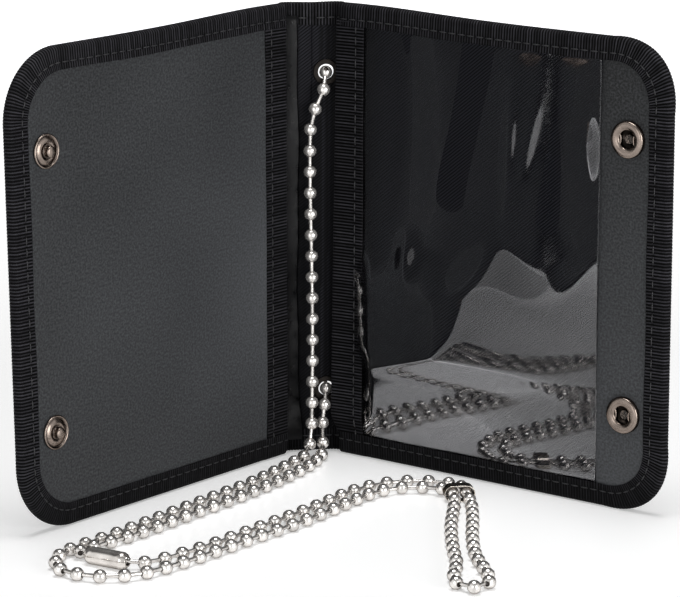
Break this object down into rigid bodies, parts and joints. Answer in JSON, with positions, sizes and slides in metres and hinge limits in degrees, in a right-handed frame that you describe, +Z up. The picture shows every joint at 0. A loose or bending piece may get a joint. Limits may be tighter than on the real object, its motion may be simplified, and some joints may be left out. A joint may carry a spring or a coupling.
{
  "type": "id badge wallet",
  "caption": "Folding badge wallet with two stiff leaves on a soft spine, a closed pocket, a clear window pocket, snap fasteners and a ball chain through the spine.",
  "frame": {"origin": "middle of the wallet's box at the floor that it stands on, as it stands half open", "axes": "+Z up along the spine, +X to the right as the open wallet is read, the opening faces -Y and the spine is at +Y"},
  "size_m": [0.1632, 0.1392, 0.12],
  "materials": {
    "cover_cloth": "woven nylon, matte black",
    "lining_twill": "twill weave, black",
    "stiffener_board": "plain",
    "binding_tape": "ribbed grosgrain, black",
    "panel_cloth": "fine matte grain, dark grey",
    "divider_vinyl": "smooth, semi gloss",
    "clear_vinyl": "clear, glossy, slightly wavy",
    "dark_nickel": "antique nickel plate, worn edges",
    "bright_nickel": "polished nickel plate"
  },
  "bodies": {
    "spine": {"spine_cover": "cover_cloth", "spine_lining": "lining_twill", "spine_binding_top": "binding_tape", "spine_binding_bottom": "binding_tape", "upper_eyelet": "dark_nickel", "upper_eyelet_washer": "dark_nickel", "lower_eyelet": "dark_nickel", "lower_eyelet_washer": "dark_nickel", "chain_inside_run": "bright_nickel", "chain_behind_run": "bright_nickel", "chain_lower_run": "bright_nickel", "chain_back_row": "bright_nickel", "chain_front_row": "bright_nickel", "chain_outer_return_left": "bright_nickel", "chain_outer_return_right": "bright_nickel", "chain_inner_return_left": "bright_nickel", "chain_inner_return_right": "bright_nickel", "chain_front_loop": "bright_nickel", "chain_coupling": "bright_nickel", "chain_slide": "bright_nickel"},
    "left_leaf": {"left_cover": "cover_cloth", "left_board": "stiffener_board", "left_lining": "lining_twill", "left_divider": "divider_vinyl", "left_pocket_panel": "panel_cloth", "left_mouth_tape": "binding_tape", "left_binding": "binding_tape", "upper_stud": "dark_nickel", "upper_stud_rivet": "dark_nickel", "lower_stud": "dark_nickel", "lower_stud_rivet": "dark_nickel"},
    "right_leaf": {"right_cover": "cover_cloth", "right_board": "stiffener_board", "right_lining": "lining_twill", "clear_window": "clear_vinyl", "snap_strip": "panel_cloth", "right_mouth_tape": "binding_tape", "right_binding": "binding_tape", "upper_socket": "dark_nickel", "upper_socket_spring": "dark_nickel", "upper_socket_rivet": "dark_nickel", "lower_socket": "dark_nickel", "lower_socket_spring": "dark_nickel", "lower_socket_rivet": "dark_nickel"}
  },
  "joints": [
    {"name": "left_fold", "type": "hinge", "parent": "spine", "child": "left_leaf", "pos_m": [-0.00818, 0.03628, 0.06], "axis": [0, 0, 1], "range_deg": [-45, 47.6], "deforming": ["chain_back_row", "chain_front_row", "chain_outer_return_left", "chain_outer_return_right", "chain_inner_return_left", "chain_inner_return_right", "chain_front_loop", "chain_slide"]},
    {"name": "right_fold", "type": "hinge", "parent": "spine", "child": "right_leaf", "pos_m": [0.00818, 0.03628, 0.06], "axis": [0, 0, -1], "range_deg": [-45, 47.6], "deforming": ["chain_back_row", "chain_front_row", "chain_outer_return_left", "chain_outer_return_right", "chain_inner_return_left", "chain_inner_return_right", "chain_front_loop", "chain_slide"]}
  ]
}
